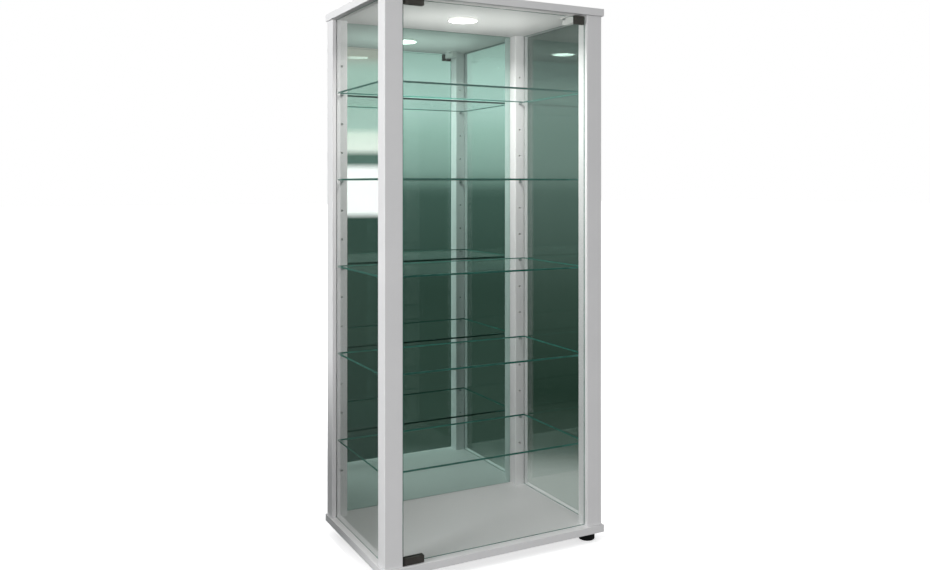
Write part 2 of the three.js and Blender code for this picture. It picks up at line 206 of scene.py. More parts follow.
def groundEdge():
    look = glassLook
    finish = Finish("groundEdge", {"IOR": look["paneBend"]})
    patch = finish.noise(finish.place, look["edgeScale"], 3.0, 0.5)
    finish.drive("Base Color", finish.mix(patch, rgb(*look["edge"]), rgb(*look["edgeLight"])))
    finish.drive("Roughness", look["edgeRough"] + look["edgeRoughMore"] * patch)
    return finish.material


mirrorLook = {
    "silver": (0.53, 0.70, 0.65), "deep": (0.515, 0.685, 0.635), "scale": 3.0, "roughest": 0.01,
    "paint": (0.20, 0.215, 0.205), "paintDark": (0.165, 0.18, 0.172), "paintScale": 6.0,
    "roller": (220.0, 220.0, 60.0), "paintRough": 0.5, "paintRoughMore": 0.2,
}


def silvering():
    look = mirrorLook
    finish = Finish("silvering", {"Metallic": 1.0})
    cloud = finish.noise(finish.place, look["scale"], 3.0, 0.5)
    finish.drive("Base Color", finish.mix(cloud, rgb(*look["deep"]), rgb(*look["silver"])))
    finish.drive("Roughness", look["roughest"] * cloud)
    return finish.material


def backingPaint():
    look = mirrorLook
    finish = Finish("backingPaint", {"Specular IOR Level": 0.35})
    cloud = finish.noise(finish.place, look["paintScale"], 4.0, 0.6)
    nap = finish.noise(finish.stretched(look["roller"]), 1.0, 2.0, 0.6)
    finish.drive("Base Color", finish.mix(cloud, rgb(*look["paintDark"]), rgb(*look["paint"])))
    finish.drive("Roughness", look["paintRough"] + look["paintRoughMore"] * nap)
    finish.bump(nap, 0.25, 0.1 * mm)
    return finish.material


blackLook = {
    "metal": (0.048, 0.042, 0.038), "worn": (0.078, 0.071, 0.064), "wearScale": 90.0,
    "metalSpecks": 1400.0, "metalRough": 0.36, "metalRoughMore": 0.14,
    "plastic": (0.005, 0.005, 0.0055), "plasticPale": (0.010, 0.010, 0.011), "dustScale": 70.0,
    "plasticSpecks": 1600.0, "plasticRough": 0.5, "plasticRoughMore": 0.12,
}


def blackMetal():
    look = blackLook
    finish = Finish("blackMetal", {"Metallic": 0.25, "Specular IOR Level": 0.5})
    speck = finish.noise(finish.place, look["metalSpecks"], 2.0, 0.6)
    wear = finish.noise(finish.place, look["wearScale"], 3.0, 0.6).over(0.45, 0.8)
    finish.drive("Base Color", finish.mix(wear, rgb(*look["metal"]), rgb(*look["worn"])))
    finish.drive("Roughness", look["metalRough"] + look["metalRoughMore"] * speck)
    finish.bump(speck, 0.15, 0.06 * mm)
    return finish.material


def blackPlastic():
    look = blackLook
    finish = Finish("blackPlastic", {"Specular IOR Level": 0.12})
    speck = finish.noise(finish.place, look["plasticSpecks"], 2.0, 0.6)
    dust = finish.noise(finish.place, look["dustScale"], 3.0, 0.6).over(0.4, 0.8)
    finish.drive("Base Color", finish.mix(dust, rgb(*look["plastic"]), rgb(*look["plasticPale"])))
    finish.drive("Roughness", look["plasticRough"] + look["plasticRoughMore"] * speck)
    finish.bump(speck, 0.2, 0.08 * mm)
    return finish.material


plasticLook = {
    "white": (0.80, 0.80, 0.79), "ivory": (0.76, 0.76, 0.745), "clouds": 60.0, "specks": 1500.0,
    "rough": 0.3, "roughMore": 0.12,
}


def whitePlastic():
    look = plasticLook
    finish = Finish("whitePlastic", {"Specular IOR Level": 0.5})
    cloud = finish.noise(finish.place, look["clouds"], 3.0, 0.5)
    speck = finish.noise(finish.place, look["specks"], 2.0, 0.5)
    finish.drive("Base Color", finish.mix(cloud, rgb(*look["ivory"]), rgb(*look["white"])))
    finish.drive("Roughness", look["rough"] + look["roughMore"] * cloud)
    finish.bump(speck, 0.08, 0.05 * mm)
    return finish.material


steelLook = {
    "bright": (0.66, 0.67, 0.68), "dull": (0.50, 0.51, 0.53), "clouds": 500.0,
    "rough": 0.24, "roughMore": 0.18,
}


def zincSteel():
    look = steelLook
    finish = Finish("zincSteel", {"Metallic": 1.0})
    cloud = finish.noise(finish.place, look["clouds"], 3.0, 0.6)
    finish.drive("Base Color", finish.mix(cloud, rgb(*look["dull"]), rgb(*look["bright"])))
    finish.drive("Roughness", look["rough"] + look["roughMore"] * cloud)
    finish.bump(cloud, 0.1, 0.05 * mm)
    return finish.material


lensLook = {
    "glow": (1.0, 0.985, 0.94), "rim": (0.93, 0.92, 0.87), "strength": 12.0, "frost": 900.0,
    "rimSpan": (0.5, 1.1),  # as shares of the lens's radius
}


def lampLens(centre, radius):
    # brighter over the lights inside, a little weaker towards the rim
    look = lensLook
    finish = Finish("lampLens", {"Base Color": rgb(0.9, 0.9, 0.88), "Roughness": 0.35})
    finish.shader.inputs["Emission Strength"].default_value = look["strength"]
    sockets = {0: finish.place, 1: centre}
    away = finish.add("ShaderNodeVectorMath", {"operation": "DISTANCE"}, sockets, output=1)
    frost = finish.noise(finish.place, look["frost"], 2.0, 0.5)
    rim = (away / radius + 0.1 * frost).over(*look["rimSpan"])
    finish.drive("Emission Color", finish.mix(rim, rgb(*look["glow"]), rgb(*look["rim"])))
    finish.bump(frost, 0.1, 0.05 * mm)
    return finish.material


shellLook = {
    "white": (0.82, 0.82, 0.80), "glow": (1.0, 0.99, 0.95), "dim": (0.45, 0.45, 0.43), "strength": 0.42,
    "blotches": 300.0,
}


def lampShell(low, high):
    # a glow over the whole shell, strongest near the open side: partly the diffuser's light coming through
    # the rim, partly painted light that brightens the shell's shaded sides
    look = shellLook
    finish = Finish("lampShell", {"Base Color": rgb(*look["white"]), "Roughness": 0.35})
    finish.shader.inputs["Emission Strength"].default_value = look["strength"]
    height = finish.add("ShaderNodeSeparateXYZ", {}, {"Vector": finish.place}, output=2)
    blotches = finish.noise(finish.place, look["blotches"])
    fading = ((height - low) / (high - low) + 0.1 * blotches).over(0.0, 1.2)
    # painted glow: the shell's emission colour, fading from the open side towards the closed side
    finish.drive("Emission Color", finish.mix(fading, rgb(*look["glow"]), rgb(*look["dim"])))
    return finish.material


def middle(node, **at):
    # a node's middle, with any of x, y and z put at its low (0) or high (1) side
    low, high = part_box(node)
    place = (low + high) / 2
    for axis, side in at.items():
        setattr(place, axis, getattr((low, high)[side], axis))
    return place


def extent(node, axis):
    # in millimetres
    low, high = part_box(node)
    return (getattr(high, axis) - getattr(low, axis)) / mm


looks = {
    "white_board": whiteFoil(),
    "clear_glass": clearGlass("clearGlass", glassLook["paneBend"]),
    "shelf_glass": clearGlass("shelfGlass", glassLook["shelfBend"]),
    "edge": groundEdge(),
    "mirror": silvering(),
    "backing": backingPaint(),
    "black_metal": blackMetal(),
    "steel": zincSteel(),
    "black_plastic": blackPlastic(),
    "white_plastic": whitePlastic(),
    "lamp_lens": lampLens(middle("lamp_lens"), extent("lamp_lens", "x") / 2 * mm),
    "lamp_shell": lampShell(middle("lamp_body", z=0).z, middle("lamp_body", z=1).z),
}
slotOf = {row["node"]: row["material_slot"] for row in frame["record"]["subparts"]}
for nodeName, node in frame["nodes"].items():
    node.data.materials.clear()
    node.data.materials.append(looks[slotOf[nodeName]])
print("finishes made:", len(looks))


def newObject(name, mesh):
    made = bpy.data.objects.new(name, mesh)
    bpy.context.scene.collection.objects.link(made)
    return made


def placed(piece, body, nodes):
    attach(piece, body)
    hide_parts(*nodes)
    return piece


def newPiece(name, mesh, body, slot, nodes, materials=None):
    for material in materials or [looks[slot]]:
        mesh.materials.append(material)
    return placed(newObject(name, mesh), body, nodes)


def meshFrom(points, faces, name):
    mesh = bpy.data.meshes.new(name)
    mesh.from_pydata([tuple(p) for p in points], [], faces)
    mesh.update()
    return mesh


def smoothed(mesh, angle=32):
    # smooth across shallow edges, with broad flat faces kept flat
    mesh.shade_smooth()
    mesh.set_sharp_from_angle(angle=math.radians(angle))
    corners = [Vector((0, 0, 0)) for _ in mesh.loops]
    facesAt = {}
    for face in mesh.polygons:
        for vertex in face.vertices:
            facesAt.setdefault(vertex, []).append(face.index)
    limit = math.cos(math.radians(angle))
    for face in mesh.polygons:
        for loop in face.loop_indices:
            total = Vector((0, 0, 0))
            for other in facesAt[mesh.loops[loop].vertex_index]:
                neighbour = mesh.polygons[other]
                if neighbour.normal.dot(face.normal) > limit:
                    total += neighbour.normal * neighbour.area
            corners[loop] = total.normalized()
    mesh.normals_split_custom_set(corners)
    return mesh


def arc(centre, radius, start, sweep=90, steps=5):
    # points along an arc, angles in degrees
    points = []
    for i in range(steps + 1):
        angle = math.radians(start + sweep * i / steps)
        points.append((centre[0] + radius * math.cos(angle), centre[1] + radius * math.sin(angle)))
    return points


def inMetres(profile):
    return [(radius * mm, height * mm) for radius, height in profile]


onAxis = 1e-7  # a smaller radius than this is a point on the axis


def turnedMesh(name, profile, count):
    # a profile of (radius, height) pairs turned about Z, closed on the axis or on itself
    points, rings = [], []
    for radius, height in profile:
        if radius < onAxis:
            rings.append([len(points)])
            points.append((0, 0, height))
            continue
        rings.append(list(range(len(points), len(points) + count)))
        for i in range(count):
            angle = 2 * math.pi * i / count
            points.append((radius * math.cos(angle), radius * math.sin(angle), height))
    pairs = list(zip(rings, rings[1:]))
    if profile[0][0] > onAxis:
        pairs.append((rings[-1], rings[0]))
    faces = []
    for low, high in pairs:
        for i in range(count):
            j = (i + 1) % count
            if len(low) == 1 and len(high) > 1:
                faces.append((low[0], high[j], high[i]))
            elif len(high) == 1 and len(low) > 1:
                faces.append((low[i], low[j], high[0]))
            elif len(low) > 1:
                faces.append((low[i], low[j], high[j], high[i]))
    mesh = meshFrom(points, faces, name)
    bm = bmesh.new()
    bm.from_mesh(mesh)
    bmesh.ops.recalc_face_normals(bm, faces=bm.faces)
    bm.to_mesh(mesh)
    bm.free()
    return mesh


def finished(piece):
    # the evaluated shape as a plain mesh, with the modifiers gone
    graph = bpy.context.evaluated_depsgraph_get()
    mesh = bpy.data.meshes.new_from_object(piece.evaluated_get(graph))
    piece.modifiers.clear()
    piece.data = mesh
    return piece


mendSizes = {
    "doubles": 0.01 * mm, "segments": 3,
    "flat": 0.5, "shallow": 32, "sharper": 3,  # degrees
}


def refinedCopy(node, name, body, bevel=0.0):
    # a CAD node's shape with its triangles joined up and its edges rounded
    mesh = frame["nodes"][node].data.copy()
    mesh.materials.clear()
    bm = bmesh.new()
    bm.from_mesh(mesh)
    bmesh.ops.remove_doubles(bm, verts=bm.verts, dist=mendSizes["doubles"])
    bmesh.ops.dissolve_limit(bm, angle_limit=math.radians(mendSizes["flat"]), verts=bm.verts, edges=bm.edges)
    bm.to_mesh(mesh)
    bm.free()
    mesh.name = name
    piece = newPiece(name, smoothed(mesh, mendSizes["shallow"]), body, slotOf[node], [node])
    if bevel:
        modifier = piece.modifiers.new("edges", "BEVEL")
        modifier.width = bevel
        modifier.segments = mendSizes["segments"]
        modifier.limit_method = "ANGLE"
        modifier.angle_limit = math.radians(mendSizes["shallow"] + mendSizes["sharper"])
        modifier.harden_normals = True
    return piece


class ShapeTree(Tree):
    # a geometry tree with named inputs
    def __init__(self, name, inputs):
        group = bpy.data.node_groups.new(name, "GeometryNodeTree")
        super().__init__(group)
        group.interface.new_socket("Geometry", in_out="OUTPUT", socket_type="NodeSocketGeometry")
        group.interface.new_socket("Geometry", in_out="INPUT", socket_type="NodeSocketGeometry")
        for title, kind in inputs.items():
            group.interface.new_socket(title, in_out="INPUT", socket_type="NodeSocket" + kind)
        self.given = group.nodes.new("NodeGroupInput").outputs

    def close(self, geometry):
        whole = self.add("GeometryNodeRealizeInstances", {}, {"Geometry": geometry})
        sockets = {"Geometry": whole, "Material": self.given["Material"]}
        dressed = self.add("GeometryNodeSetMaterial", {}, sockets)
        feed(self.tree, self.tree.nodes.new("NodeGroupOutput").inputs[0], dressed)
        return self.tree


def applyTree(piece, tree, values):
    modifier = piece.modifiers.new(tree.name, "NODES")
    modifier.node_group = tree
    for item in tree.interface.items_tree:
        if item.in_out == "INPUT" and item.name in values:
            modifier[item.identifier] = values[item.name]
    return finished(piece)


def postTree():
    # an outline drawn up to its length, with a row of holes drilled into it
    names = {
        "Length": "Float", "Drill": "Object", "First Hole": "Vector", "Pitch": "Float", "Count": "Int",
        "Turn": "Float", "Material": "Material",
    }
    tree = ShapeTree("postTree", names)
    given = tree.given
    up = tree.add("ShaderNodeCombineXYZ", {}, {"Z": given["Length"]})
    drawn = tree.add("GeometryNodeExtrudeMesh", {"mode": "FACES"}, {
        "Mesh": given["Geometry"], "Offset": up, "Offset Scale": 1.0, "Individual": False})
    foot = tree.add("GeometryNodeFlipFaces", {}, {"Mesh": given["Geometry"]})
    joined = tree.tree.nodes.new("GeometryNodeJoinGeometry")
    for part in (foot, drawn):
        feed(tree.tree, joined.inputs[0], part)
    solid = tree.add("GeometryNodeMergeByDistance", {}, {
        "Geometry": joined.outputs[0], "Distance": mendSizes["doubles"]})
    step = tree.add("ShaderNodeCombineXYZ", {}, {"Z": given["Pitch"]})
    row = tree.add("GeometryNodeMeshLine", {"mode": "OFFSET"}, {
        "Count": given["Count"], "Start Location": given["First Hole"], "Offset": step})
    drill = tree.add("GeometryNodeObjectInfo", {}, {"Object": given["Drill"]}, output=4)
    turn = tree.add("ShaderNodeCombineXYZ", {}, {"X": given["Turn"]})
    drills = tree.add("GeometryNodeInstanceOnPoints", {}, {
        "Points": row, "Instance": drill, "Rotation": turn})
    solidDrills = tree.add("GeometryNodeRealizeInstances", {}, {"Geometry": drills})
    cut = tree.tree.nodes.new("GeometryNodeMeshBoolean")
    cut.operation = "DIFFERENCE"
    feed(tree.tree, cut.inputs["Mesh 1"], solid)
    feed(tree.tree, cut.inputs["Mesh 2"], solidDrills)
    return tree.close(cut.outputs["Mesh"])


def rowTree(name, recessed):
    # one part set out on every point, turned by the point's own angles, cut by its recess if it has one
    names = {"Part": "Object", "Recess": "Object", "Size": "Float", "Material": "Material"}
    tree = ShapeTree(name, names)
    part = tree.add("GeometryNodeObjectInfo", {}, {"Object": tree.given["Part"]}, output=4)
    if recessed:
        recess = tree.add("GeometryNodeObjectInfo", {}, {"Object": tree.given["Recess"]}, output=4)
        cut = tree.tree.nodes.new("GeometryNodeMeshBoolean")
        cut.operation = "DIFFERENCE"
        feed(tree.tree, cut.inputs["Mesh 1"], part)
        feed(tree.tree, cut.inputs["Mesh 2"], recess)
        part = cut.outputs["Mesh"]
    turn = tree.add("GeometryNodeInputNamedAttribute", {"data_type": "FLOAT_VECTOR"}, {"Name": "turn"})
    row = tree.add("GeometryNodeInstanceOnPoints", {}, {
        "Points": tree.given["Geometry"], "Instance": part, "Rotation": turn, "Scale": tree.given["Size"]})
    return tree.close(row)


trees = {
    "post": postTree(),
    "row": rowTree("rowTree", False),
    "recessedRow": rowTree("recessedRowTree", True),
}


def setOut(name, mesh, places, turns, body, slot, nodes, sunken=None):
    # the same part at many places, made one mesh
    part = newObject(name + "Part", mesh)
    recess = newObject(name + "Recess", sunken) if sunken else None
    points = meshFrom(places, [], name)
    turn = points.attributes.new("turn", "FLOAT_VECTOR", "POINT")
    for i, angles in enumerate(turns):
        turn.data[i].vector = angles
    piece = newObject(name, points)
    values = {"Part": part, "Size": 1.0, "Material": looks[slot]}
    if recess:
        values["Recess"] = recess
    applyTree(piece, trees["recessedRow" if recess else "row"], values)
    for tool in filter(None, (part, recess)):
        bpy.data.objects.remove(tool)
    smoothed(piece.data)
    return placed(piece, body, nodes)


refinedCopy("top_board", "topBoard", "cabinet")
refinedCopy("base_board", "baseBoard", "cabinet")
print("boards made")


postSizes = {
    "corner": 1.5 * mm, "grooveDepth": 8 * mm, "grooveRoom": 0.3 * mm, "holeRadius": 2.5 * mm,
    "holeDepth": 10 * mm, "mouth": 0.35 * mm, "holeSides": 28, "holeCount": 15,
    "holesBetweenShelves": 3,
}


def pinMiddle(index, end, side):
    return middle(f"shelf_pin_{index}_{end}_{side}")


def innerFace(end, side):
    # where the face with the holes stands along y
    return middle(f"post_{end}_{side}", y=1 if end == "front" else 0).y


firstPinLevel = pinMiddle(1, "front", "left").z
lastPinLevel = pinMiddle(shelfCount, "front", "left").z
holePitch = (lastPinLevel - firstPinLevel) / (shelfCount - 1) / postSizes["holesBetweenShelves"]


def postOutline(end, side):
    # counted across from the outer side face, and inwards from the front or rear face
    low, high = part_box(f"post_{end}_{side}")
    width, depth = high.x - low.x, high.y - low.y
    r, groove, room = postSizes["corner"], postSizes["grooveDepth"], postSizes["grooveRoom"]
    outerX = low.x if side == "left" else high.x
    outerY = low.y if end == "front" else high.y
    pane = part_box(f"side_glass_{side}")
    paneStart = min(abs(pane[0].x - outerX), abs(pane[1].x - outerX)) - room
    paneEnd = paneStart + (pane[1].x - pane[0].x) + 2 * room
    outline = arc((width - r, r), r, -90)
    if end == "rear":
        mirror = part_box("rear_mirror")
        start = outerY - mirror[1].y - room
        finish = outerY - mirror[0].y + room
        outline += [(width, start), (width - groove, start), (width - groove, finish), (width, finish)]
    outline += arc((width - r, depth - r), r, 0)
    outline += [(paneEnd, depth), (paneEnd, depth - groove), (paneStart, depth - groove), (paneStart, depth)]
    outline += arc((r, depth - r), r, 90)
    outline += arc((r, r), r, 180)
    points = [(outerX - sides[side] * u, outerY - ends[end] * v, low.z) for u, v in outline]
    if sides[side] * ends[end] < 0:
        points.reverse()
    return points, high.z - low.z


def holeDrill():
    # a drill with a small cone at its mouth, so that the hole's rim is eased
    r, m, depth = postSizes["holeRadius"], postSizes["mouth"], postSizes["holeDepth"]
    profile = [(0, -depth), (r, -depth), (r, -m), (r + m, 0), (r + m, m), (0, m)]
    return newObject("holeDrill", turnedMesh("holeDrill", profile, postSizes["holeSides"]))


def post(end, side, drill):
    outline, length = postOutline(end, side)
    name = "post" + end.capitalize() + side.capitalize()
    piece = newObject(name, meshFrom(outline, [list(range(len(outline)))], name))
    applyTree(piece, trees["post"], {
        "Length": length, "Drill": drill, "Pitch": holePitch, "Count": postSizes["holeCount"],
        "First Hole": (pinMiddle(1, end, side).x, innerFace(end, side), firstPinLevel - holePitch),
        "Turn": math.radians(90) * ends[end], "Material": looks["white_board"],
    })
    smoothed(piece.data)
    placed(piece, "cabinet", [f"post_{end}_{side}"])


def posts():
    drill = holeDrill()
    for end in ends:
        for side in sides:
            post(end, side, drill)
    bpy.data.objects.remove(drill)


posts()
print("posts made")


glassSizes = {"ease": 0.5 * mm, "steps": 2, "facing": 0.98, "smooth": 50}


def slab(name, low, high, thin):
    # a pane with eased edges; faces across its thin axis are its own material, the rim another
    bm = bmesh.new()
    bmesh.ops.create_cube(bm, size=1)
    for vertex in bm.verts:
        for i in range(3):
            vertex.co[i] = low[i] if vertex.co[i] < 0 else high[i]
    bmesh.ops.bevel(bm, geom=bm.edges[:], offset=glassSizes["ease"], segments=glassSizes["steps"],
                    affect="EDGES", profile=0.5)
    limit = glassSizes["facing"]
    for face in bm.faces:
        facing = face.normal[thin]
        face.material_index = 0 if facing < -limit else 1 if facing > limit else 2
    mesh = bpy.data.meshes.new(name)
    bm.to_mesh(mesh)
    bm.free()
    return smoothed(mesh, glassSizes["smooth"])


def pane(name, node, body, thin, faces=("clear_glass", "clear_glass"), slot="clear_glass"):
    low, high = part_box(node)
    materials = [looks[face] for face in (*faces, "edge")]
    piece = newPiece(name, slab(name, low, high, thin), body, slot, [node], materials)
    piece.visible_shadow = slot != "clear_glass"
    return piece


pane("sideGlassLeft", "side_glass_left", "cabinet", 0)
pane("sideGlassRight", "side_glass_right", "cabinet", 0)
pane("doorGlass", "door_glass", "door", 1)
for i in range(1, shelfCount + 1):
    pane(f"shelf{i}", f"shelf_{i}", "cabinet", 2, ("shelf_glass", "shelf_glass"))
pane("mirrorBack", "rear_mirror", "cabinet", 1, ("mirror", "backing"), "mirror")
print("glass made")


fittingBevels = {
    "hinge_bracket_top": ("cabinet", 0.25), "hinge_bracket_bottom": ("cabinet", 0.25),
    "hinge_clip_top": ("door", 0.35), "hinge_clip_bottom": ("door", 0.35),
    "strike_plate": ("door", 0.3), "latch_housing": ("cabinet", 0.3),
}
for node, (body, bevel) in fittingBevels.items():
    words = node.split("_")
    refinedCopy(node, words[0] + "".join(w.capitalize() for w in words[1:]), body, bevel * mm)
print("fittings made")


pinSizes = {  # millimetres
    "shank": 2.35, "inside": -8.7, "tip": 0.4, "collar": 3.7, "collarStart": 0.3, "collarEnd": 1.3,
    "collarBack": 0.2, "collarFront": 0.3, "support": 2.5, "reach": 8.0, "round": 0.8, "sides": 24,
}


def pinMesh():
    s = pinSizes
    profile = [(0, s["inside"]), (s["shank"] - s["tip"], s["inside"]), (s["shank"], s["inside"] + s["tip"])]
    profile += [(s["shank"], s["collarStart"]), (s["collar"] - s["collarBack"], s["collarStart"])]
    profile += [(s["collar"], s["collarStart"] + s["collarBack"])]
    profile += [(s["collar"], s["collarEnd"] - s["collarFront"])]
    profile += [(s["collar"] - s["collarFront"], s["collarEnd"]), (s["support"], s["collarEnd"])]
    profile += arc((s["support"] - s["round"], s["reach"] - s["round"]), s["round"], 0, steps=4)
    profile += [(0, s["reach"])]
    return turnedMesh("shelfPin", inMetres(profile), s["sides"])


def shelfPins():
    places, turns, nodes = [], [], []
    for index in range(1, shelfCount + 1):
        for end in ends:
            for side in sides:
                place = pinMiddle(index, end, side)
                places.append((place.x, innerFace(end, side), place.z))
                turns.append((math.radians(90) * ends[end], 0, 0))
                nodes.append(f"shelf_pin_{index}_{end}_{side}")
    setOut("shelfPins", pinMesh(), places, turns, "cabinet", "steel", nodes)


shelfPins()
print("pins made")


footSizes = {  # millimetres
    "round": 2.5, "chamfer": 0.8, "pocket": 6.5, "pocketDepth": 9.0, "pocketEase": 0.5,
    "bore": 2.5, "sides": 56,
}


def footMesh(radius, height):
    s = footSizes
    profile = [(s["bore"], s["pocketDepth"]), (s["pocket"], s["pocketDepth"])]
    profile += [(s["pocket"], s["pocketEase"]), (s["pocket"] + s["pocketEase"], 0)]
    profile += arc((radius - s["round"], s["round"]), s["round"], -90)
    profile += [(radius, height - s["chamfer"]), (radius - s["chamfer"], height), (s["bore"], height)]
    return turnedMesh("foot", inMetres(profile), s["sides"])


def feet():
    nodes = [f"foot_{end}_{side}" for end in ends for side in sides]
    mesh = footMesh(extent(nodes[0], "x") / 2, extent(nodes[0], "z"))
    places = [middle(node, z=0) for node in nodes]
    setOut("feet", mesh, places, [(0, 0, 0)] * len(nodes), "cabinet", "black_plastic", nodes)


feet()
print("feet made")


def turnedPiece(name, node, profile, count, place, turn, body, slot, look=None):
    # a turned part stood at its place, turned about X
    mesh = turnedMesh(name, inMetres(profile), count)
    mesh.transform(Matrix.Translation(place) @ Matrix.Rotation(math.radians(turn), 4, "X"))
    return newPiece(name, smoothed(mesh), body, slot, [node], look and [looks[look]])


latchSizes = {"gap": 0.3, "noseRound": 0.6, "ease": 0.25, "sides": 48}  # millimetres


def latchParts():
    s = latchSizes
    radius, length = extent("latch_plunger", "x") / 2, extent("latch_plunger", "y")
    magnetRadius, magnetLength = extent("latch_magnet", "x") / 2, extent("latch_magnet", "y")
    pocket, floor = magnetRadius + s["gap"], magnetLength + 2 * s["gap"]
    plunger = [(0, floor), (pocket, floor), (pocket, s["ease"]), (pocket + s["ease"], 0)]
    plunger += arc((radius - s["noseRound"], s["noseRound"]), s["noseRound"], -90, steps=4)
    plunger += [(radius, length - s["ease"]), (radius - s["ease"], length), (0, length)]
    magnet = [(0, 0), (magnetRadius - s["ease"], 0), (magnetRadius, s["ease"])]
    magnet += [(magnetRadius, magnetLength - s["ease"]), (magnetRadius - s["ease"], magnetLength)]
    magnet += [(0, magnetLength)]
    turnedPiece("latchPlunger", "latch_plunger", plunger, s["sides"], middle("latch_plunger", y=0), -90,
                "latch_button", "white_plastic")
    turnedPiece("latchMagnet", "latch_magnet", magnet, s["sides"], middle("latch_magnet", y=0), -90,
                "latch_button", "steel")


latchParts()
print("latch made")


screwSizes = {  # millimetres
    "pitch": 1.3, "root": 0.74, "tip": 3.0, "shank": 1.75, "sides": 32, "recessProud": 0.3,
    "headHeight": 2.3, "neck": 0.6, "crown": 1.6, "ease": 0.2, "flatRim": 0.4,
}


def threaded(radius, start, end):
    # ridges a pitch apart
    s = screwSizes
    points = []
    for i in range(int((end - start) / s["pitch"])):
        level = start + i * s["pitch"]
        points += [(radius, level), (radius * s["root"], level + s["pitch"] / 2)]
    return points


def pointedShank(length):
    s = screwSizes
    return threaded(s["shank"], s["headHeight"] + s["neck"], length - s["tip"]) + [(0, length)]


def panHead(radius, length):
    s = screwSizes
    points = [(0, 0)] + arc((radius - s["crown"], s["crown"]), s["crown"], -90, steps=6)
    points += [(radius, s["headHeight"] - s["ease"]), (radius - s["ease"], s["headHeight"])]
    return points + [(s["shank"], s["headHeight"])] + pointedShank(length)


def flatHead(radius, length):
    s = screwSizes
    points = [(0, 0), (radius - s["ease"], 0), (radius, s["ease"]), (radius, s["flatRim"])]
    return points + [(s["shank"], s["headHeight"])] + pointedShank(length)


def grubScrew(radius, length):
    ease = screwSizes["ease"]
    points = [(0, 0), (radius - ease, 0), (radius, ease)]
    return points + [(radius, length - ease), (radius - ease, length), (0, length)]


def crossRecess(reach, arm, depth, taper=0.45):
    outline = []
    for quarter in range(4):
        cosine, sine = math.cos(math.radians(90 * quarter)), math.sin(math.radians(90 * quarter))
        for u, v in ((reach, -arm), (reach, arm), (arm, arm)):
            outline.append((u * cosine - v * sine, u * sine + v * cosine))
    return recessMesh(outline, depth, taper)


def hexRecess(reach, depth):
    angles = [math.radians(60 * i) for i in range(6)]
    return recessMesh([(reach * math.cos(a), reach * math.sin(a)) for a in angles], depth, 1.0)


def recessMesh(outline, depth, taper):
    # an outline sunk into a face, narrower at the bottom
    count = len(outline)
    points = [(u * mm, v * mm, -screwSizes["recessProud"] * mm) for u, v in outline]
    points += [(u * taper * mm, v * taper * mm, depth * mm) for u, v in outline]
    faces = [tuple(reversed(range(count))), tuple(range(count, 2 * count))]
    faces += [(i, (i + 1) % count, count + (i + 1) % count, count + i) for i in range(count)]
    return meshFrom(points, faces, "recess")


def screws(name, nodes, body, head, recess, fromBehind=False):
    along = "y" if fromBehind else "z"
    radius, length = extent(nodes[0], "x") / 2, extent(nodes[0], along)
    places = [middle(node, y=1) if fromBehind else middle(node, z=0) for node in nodes]
    turns = [(math.radians(90) if fromBehind else 0, 0, 0)] * len(nodes)
    mesh = turnedMesh(name, inMetres(head(radius, length)), screwSizes["sides"])
    setOut(name, mesh, places, turns, body, "steel", nodes, recess)


footScrews = [f"foot_screw_{end}_{side}" for end in ends for side in sides]
latchScrews = [f"latch_screw_{side}" for side in sides]
clampScrews = [f"clamp_screw_{end}_{i}" for end in ("top", "bottom") for i in (1, 2)]
screws("footScrews", footScrews, "cabinet", panHead, crossRecess(2.0, 0.42, 1.5))
screws("latchScrews", latchScrews, "cabinet", flatHead, crossRecess(1.8, 0.4, 1.5))
screws("clampScrews", clampScrews, "door", grubScrew, hexRecess(1.1, 1.6), True)
screws("strikeScrew", ["strike_screw"], "door", grubScrew, crossRecess(1.0, 0.25, 0.7), True)
print("screws made")


lampSizes = {  # millimetres
    "round": 0.8, "rimGap": 0.3, "airGap": 0.6, "crown": 0.5, "ease": 0.3, "rings": 9, "sides": 96,
}


def lampParts():
    s = lampSizes
    radius, height = extent("lamp_body", "x") / 2, extent("lamp_body", "z")
    lensRadius, lensHeight = extent("lamp_lens", "x") / 2, extent("lamp_lens", "z")
    inner, recess = lensRadius + s["rimGap"], lensHeight + s["airGap"]
    body = [(0, recess), (inner, recess), (inner, s["ease"]), (inner + s["ease"], 0)]
    body += arc((radius - s["round"], s["round"]), s["round"], -90, steps=4)
    body += [(radius, height), (0, height)]
    steps = [i / s["rings"] for i in range(s["rings"])]
    cover = [(lensRadius * step, s["crown"] * step ** 2) for step in steps]
    cover += [(lensRadius - s["ease"], s["crown"]), (lensRadius, s["crown"] + s["ease"])]
    cover += [(lensRadius, lensHeight), (0, lensHeight)]
    turnedPiece("lampBody", "lamp_body", body, s["sides"], middle("lamp_body", z=0), 0, "cabinet",
                "white_plastic", "lamp_shell")
    turnedPiece("lampLens", "lamp_lens", cover, s["sides"], middle("lamp_lens", z=0), 0, "cabinet",
                "lamp_lens")


lampParts()
print("lamp made")


cameraSizes = {"place": (-0.8966, -1.7334, 0.7715), "turn": -27.51, "lens": 34.32, "drop": -0.1088}


def standCamera():
    camera = newObject("camera", bpy.data.cameras.new("camera"))
    camera.location = cameraSizes["place"]
    camera.rotation_euler = (math.radians(90), 0, math.radians(cameraSizes["turn"]))
    camera.data.lens = cameraSizes["lens"]
    camera.data.shift_y = cameraSizes["drop"]
    bpy.context.scene.camera = camera


def hideFrom(item, *kinds):
    # kinds of ray that pass an object by
    for kind in kinds:
        setattr(item, "visible_" + kind, False)


floorLook = {"half": 30.0, "colour": (0.9, 0.9, 0.9), "glowNear": 0.62, "glowFar": 1.1, "fade": (0.45, 1.6)}


